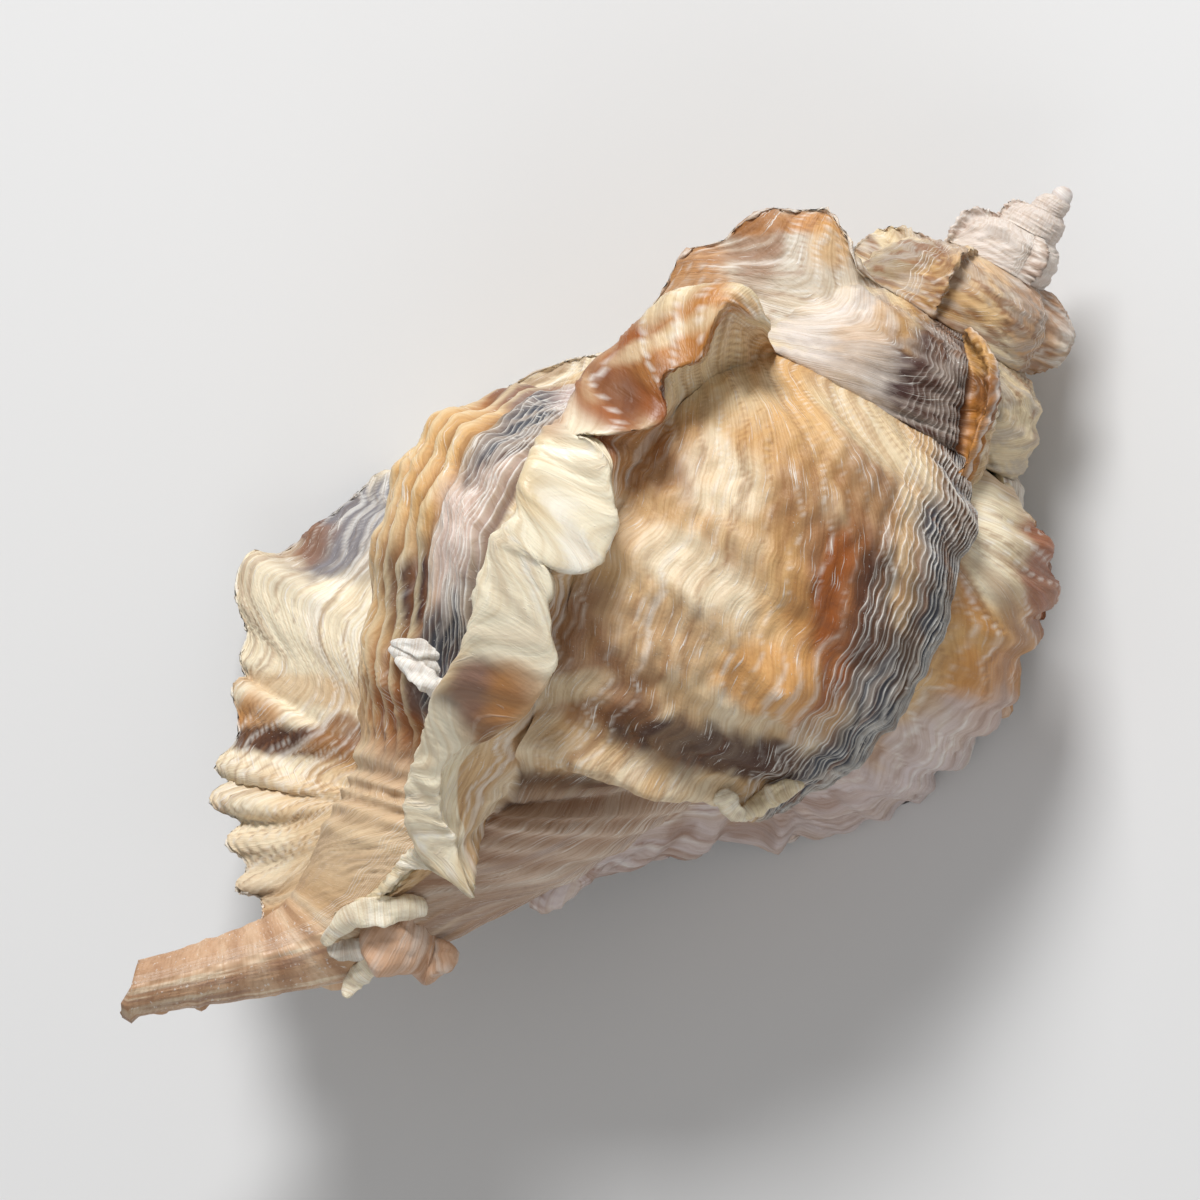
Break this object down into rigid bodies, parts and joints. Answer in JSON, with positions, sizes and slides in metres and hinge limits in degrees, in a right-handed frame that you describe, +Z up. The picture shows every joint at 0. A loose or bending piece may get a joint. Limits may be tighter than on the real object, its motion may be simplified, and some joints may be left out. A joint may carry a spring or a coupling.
{
  "type": "seashell",
  "caption": "Right-handed sea snail shell with frilled wing-like varices, a short stepped spire and a closed siphonal canal, lying on its aperture side.",
  "frame": {"origin": "centre of the bounding box at the ground the shell lies on", "axes": "+Y from the siphonal canal towards the apex, +Z up from the aperture side to the back, +X away from the lip"},
  "size_m": [0.0602, 0.1038, 0.0468],
  "materials": {
    "shell": "satin, chalky where the growth lines stand up"
  },
  "bodies": {
    "root": {"shell": "shell"}
  },
  "joints": []
}
